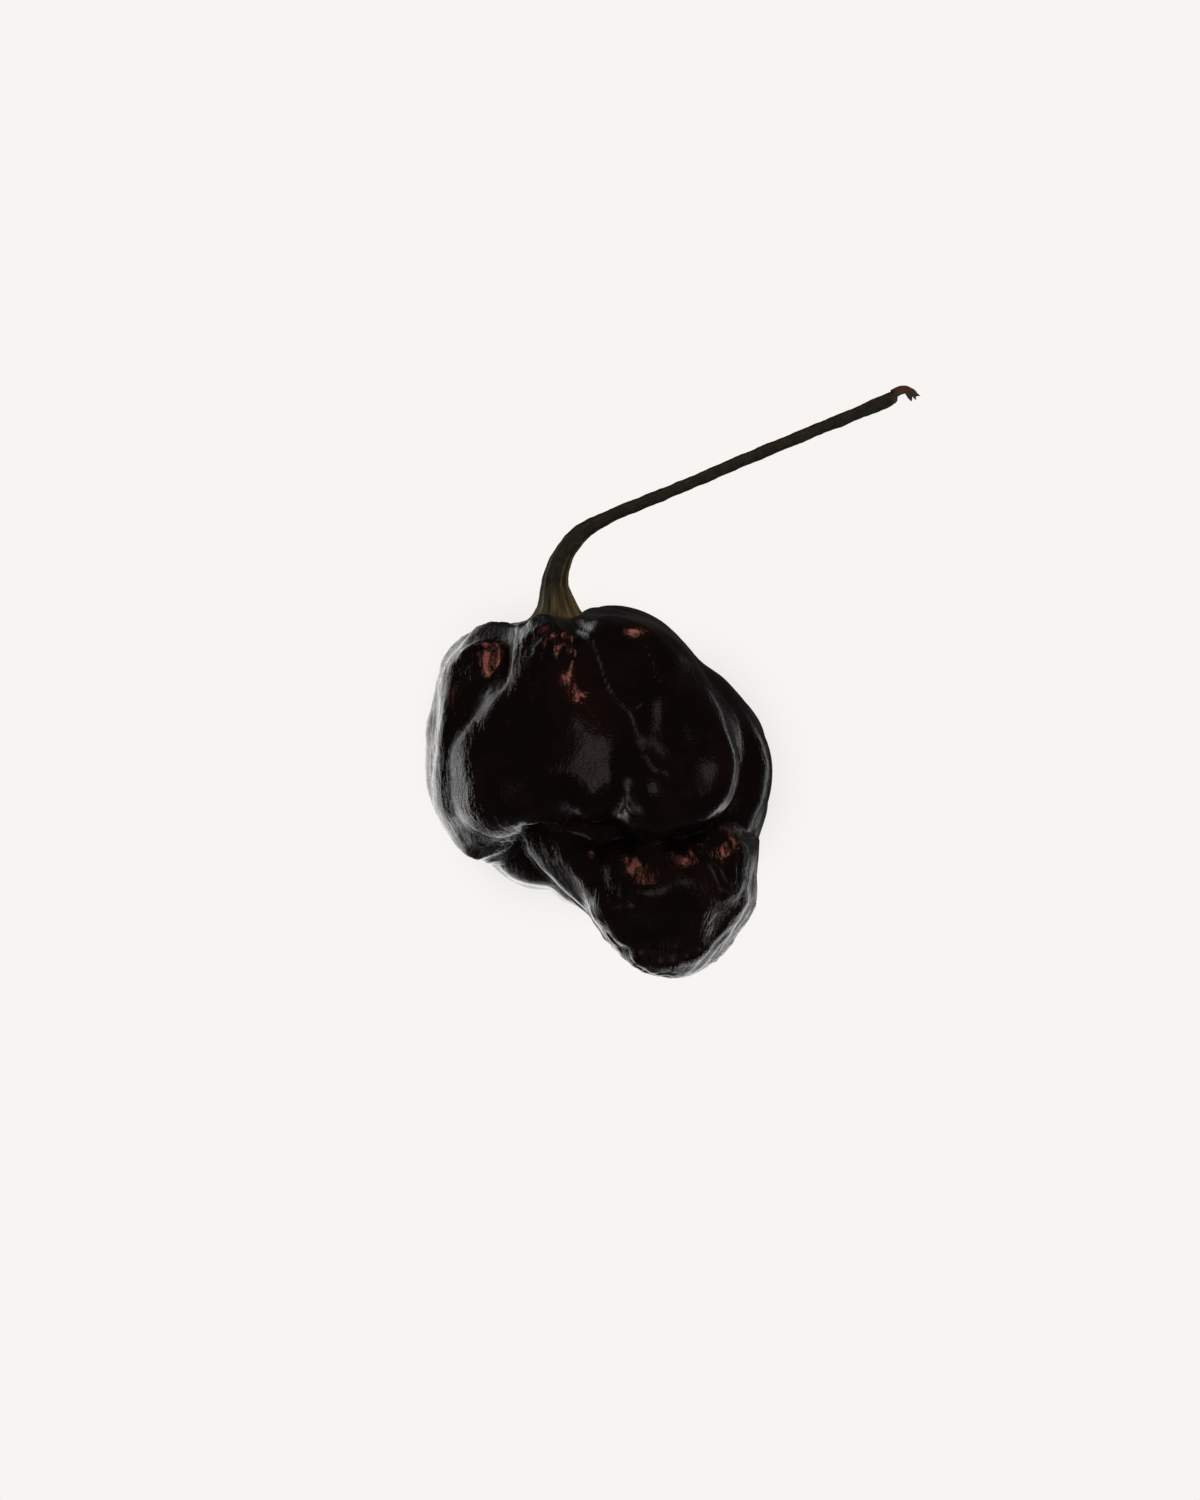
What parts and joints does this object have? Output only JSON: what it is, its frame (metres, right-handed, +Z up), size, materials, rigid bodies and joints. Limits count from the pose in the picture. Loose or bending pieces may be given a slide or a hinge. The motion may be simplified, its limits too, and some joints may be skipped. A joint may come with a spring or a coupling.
{
  "type": "chilli pepper",
  "caption": "Glossy chocolate-brown lantern-shaped chilli pepper with swollen, creased lobes and a long bent green stem, as picked, lying on its back.",
  "frame": {"origin": "middle of the bounding box's bottom, on the surface that the pepper lies on", "axes": "+Z up from that surface, +Y from the pod's tip towards its crown, +X towards the side that the stem leans to"},
  "size_m": [0.0596, 0.071, 0.0358],
  "materials": {
    "skin": "gloss",
    "stem": "satin"
  },
  "bodies": {
    "root": {"pod": "skin", "stem": "stem"}
  },
  "joints": []
}
